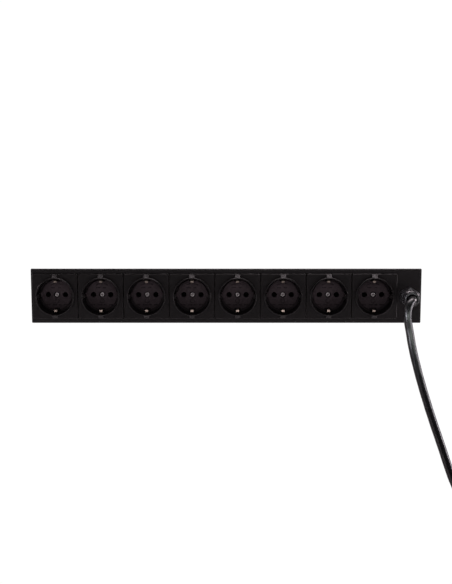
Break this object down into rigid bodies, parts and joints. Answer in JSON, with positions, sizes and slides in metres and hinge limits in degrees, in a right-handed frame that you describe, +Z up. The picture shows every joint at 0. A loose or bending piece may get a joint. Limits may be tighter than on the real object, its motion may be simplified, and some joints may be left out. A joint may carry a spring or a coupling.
{
  "type": "rack power strip",
  "caption": "Long steel power strip with a row of earthed round-plug sockets in the front and a cord from a screwed gland at one end.",
  "frame": {"origin": "centre of the flat rear mounting face, between the two rear screw holes", "axes": "+X along the strip towards the cable gland, -Y out of the front face where the sockets open, +Z up"},
  "size_m": [0.5139, 0.1694, 0.314],
  "materials": {
    "shell_paint": "fine satin powder coat",
    "black_zinc": "black zinc",
    "zinc_steel": "bright zinc",
    "nickel_spring": "nickel-plated spring strip",
    "nickel_screw": "nickel-plated",
    "contact_brass": "rolled strip",
    "sheet_insulation": "thin sheet",
    "gland_plastic": "moulded polyamide",
    "seal_rubber": "matt",
    "cord_jacket": "soft satin jacket",
    "core_brown": "satin",
    "core_blue": "satin",
    "core_green_yellow": "satin, two-colour",
    "tinned_copper": "tinned",
    "socket_plastic": "fine spark-eroded texture",
    "base_plastic": "moulded",
    "shutter_plastic": "smooth moulded",
    "plug_plastic": "moulded soft plastic",
    "pin_nickel": "nickel-plated"
  },
  "bodies": {
    "root": {"cable_sheath": "cord_jacket", "centre_screws": "nickel_screw", "clamp_nuts": "zinc_steel", "core_lugs": "tinned_copper", "cover_screws": "black_zinc", "ear_mount_nuts": "zinc_steel", "earth_clips": "nickel_spring", "earth_core": "core_green_yellow", "earth_rail": "contact_brass", "earth_stud": "zinc_steel", "earth_stud_nut": "zinc_steel", "end_plate_left": "shell_paint", "end_plate_right": "shell_paint", "end_plate_screws": "black_zinc", "gland_body": "gland_plastic", "gland_gasket": "seal_rubber", "gland_locknut": "gland_plastic", "gland_seal": "seal_rubber", "housing_front": "shell_paint", "insulating_sheet": "sheet_insulation", "live_contacts": "contact_brass", "live_core": "core_brown", "live_rail": "contact_brass", "neutral_contacts": "contact_brass", "neutral_core": "core_blue", "neutral_rail": "contact_brass", "plug_body": "plug_plastic", "plug_earth_strips": "pin_nickel", "plug_pins": "pin_nickel", "rail_rivets": "contact_brass", "rear_cover": "shell_paint", "rear_mount_nuts": "zinc_steel", "shutter_springs": "nickel_spring", "socket_base_1": "base_plastic", "socket_base_2": "base_plastic", "socket_base_3": "base_plastic", "socket_base_4": "base_plastic", "socket_base_5": "base_plastic", "socket_base_6": "base_plastic", "socket_base_7": "base_plastic", "socket_base_8": "base_plastic", "socket_insert_1": "socket_plastic", "socket_insert_2": "socket_plastic", "socket_insert_3": "socket_plastic", "socket_insert_4": "socket_plastic", "socket_insert_5": "socket_plastic", "socket_insert_6": "socket_plastic", "socket_insert_7": "socket_plastic", "socket_insert_8": "socket_plastic", "terminal_screws": "zinc_steel"},
    "shutter_1": {"shutter_1": "shutter_plastic"},
    "shutter_2": {"shutter_2": "shutter_plastic"},
    "shutter_3": {"shutter_3": "shutter_plastic"},
    "shutter_4": {"shutter_4": "shutter_plastic"},
    "shutter_5": {"shutter_5": "shutter_plastic"},
    "shutter_6": {"shutter_6": "shutter_plastic"},
    "shutter_7": {"shutter_7": "shutter_plastic"},
    "shutter_8": {"shutter_8": "shutter_plastic"},
    "gland_washer": {"gland_slip_washer": "gland_plastic"},
    "gland_nut": {"gland_dome_nut": "gland_plastic"}
  },
  "joints": [
    {"name": "shutter_1_turn", "type": "hinge", "parent": "root", "child": "shutter_1", "pos_m": [-0.1875, -0.0277, 0], "axis": [0, 1, 0], "range_deg": [0, 35], "stiffness_Nm_per_rad": 0.002},
    {"name": "shutter_2_turn", "type": "hinge", "parent": "root", "child": "shutter_2", "pos_m": [-0.1375, -0.0277, 0], "axis": [0, 1, 0], "range_deg": [0, 35], "stiffness_Nm_per_rad": 0.002},
    {"name": "shutter_3_turn", "type": "hinge", "parent": "root", "child": "shutter_3", "pos_m": [-0.0875, -0.0277, 0], "axis": [0, 1, 0], "range_deg": [0, 35], "stiffness_Nm_per_rad": 0.002},
    {"name": "shutter_4_turn", "type": "hinge", "parent": "root", "child": "shutter_4", "pos_m": [-0.0375, -0.0277, 0], "axis": [0, 1, 0], "range_deg": [0, 35], "stiffness_Nm_per_rad": 0.002},
    {"name": "shutter_5_turn", "type": "hinge", "parent": "root", "child": "shutter_5", "pos_m": [0.0125, -0.0277, 0], "axis": [0, 1, 0], "range_deg": [0, 35], "stiffness_Nm_per_rad": 0.002},
    {"name": "shutter_6_turn", "type": "hinge", "parent": "root", "child": "shutter_6", "pos_m": [0.0625, -0.0277, 0], "axis": [0, 1, 0], "range_deg": [0, 35], "stiffness_Nm_per_rad": 0.002},
    {"name": "shutter_7_turn", "type": "hinge", "parent": "root", "child": "shutter_7", "pos_m": [0.1125, -0.0277, 0], "axis": [0, 1, 0], "range_deg": [0, 35], "stiffness_Nm_per_rad": 0.002},
    {"name": "shutter_8_turn", "type": "hinge", "parent": "root", "child": "shutter_8", "pos_m": [0.1625, -0.0277, 0], "axis": [0, 1, 0], "range_deg": [0, 35], "stiffness_Nm_per_rad": 0.002},
    {"name": "gland_washer_slide", "type": "slide", "parent": "root", "child": "gland_washer", "axis": [0, -1, 0], "range_m": [0, 0.00451]},
    {"name": "gland_nut_turn", "type": "hinge", "parent": "gland_washer", "child": "gland_nut", "pos_m": [0.20025, -0.06, 0], "axis": [0, -1, 0], "range_deg": [0, 1080]}
  ],
  "couplings": [
    {"joint": "gland_washer_slide", "follows": "gland_nut_turn", "m_per_rad": 0.00023873}
  ]
}
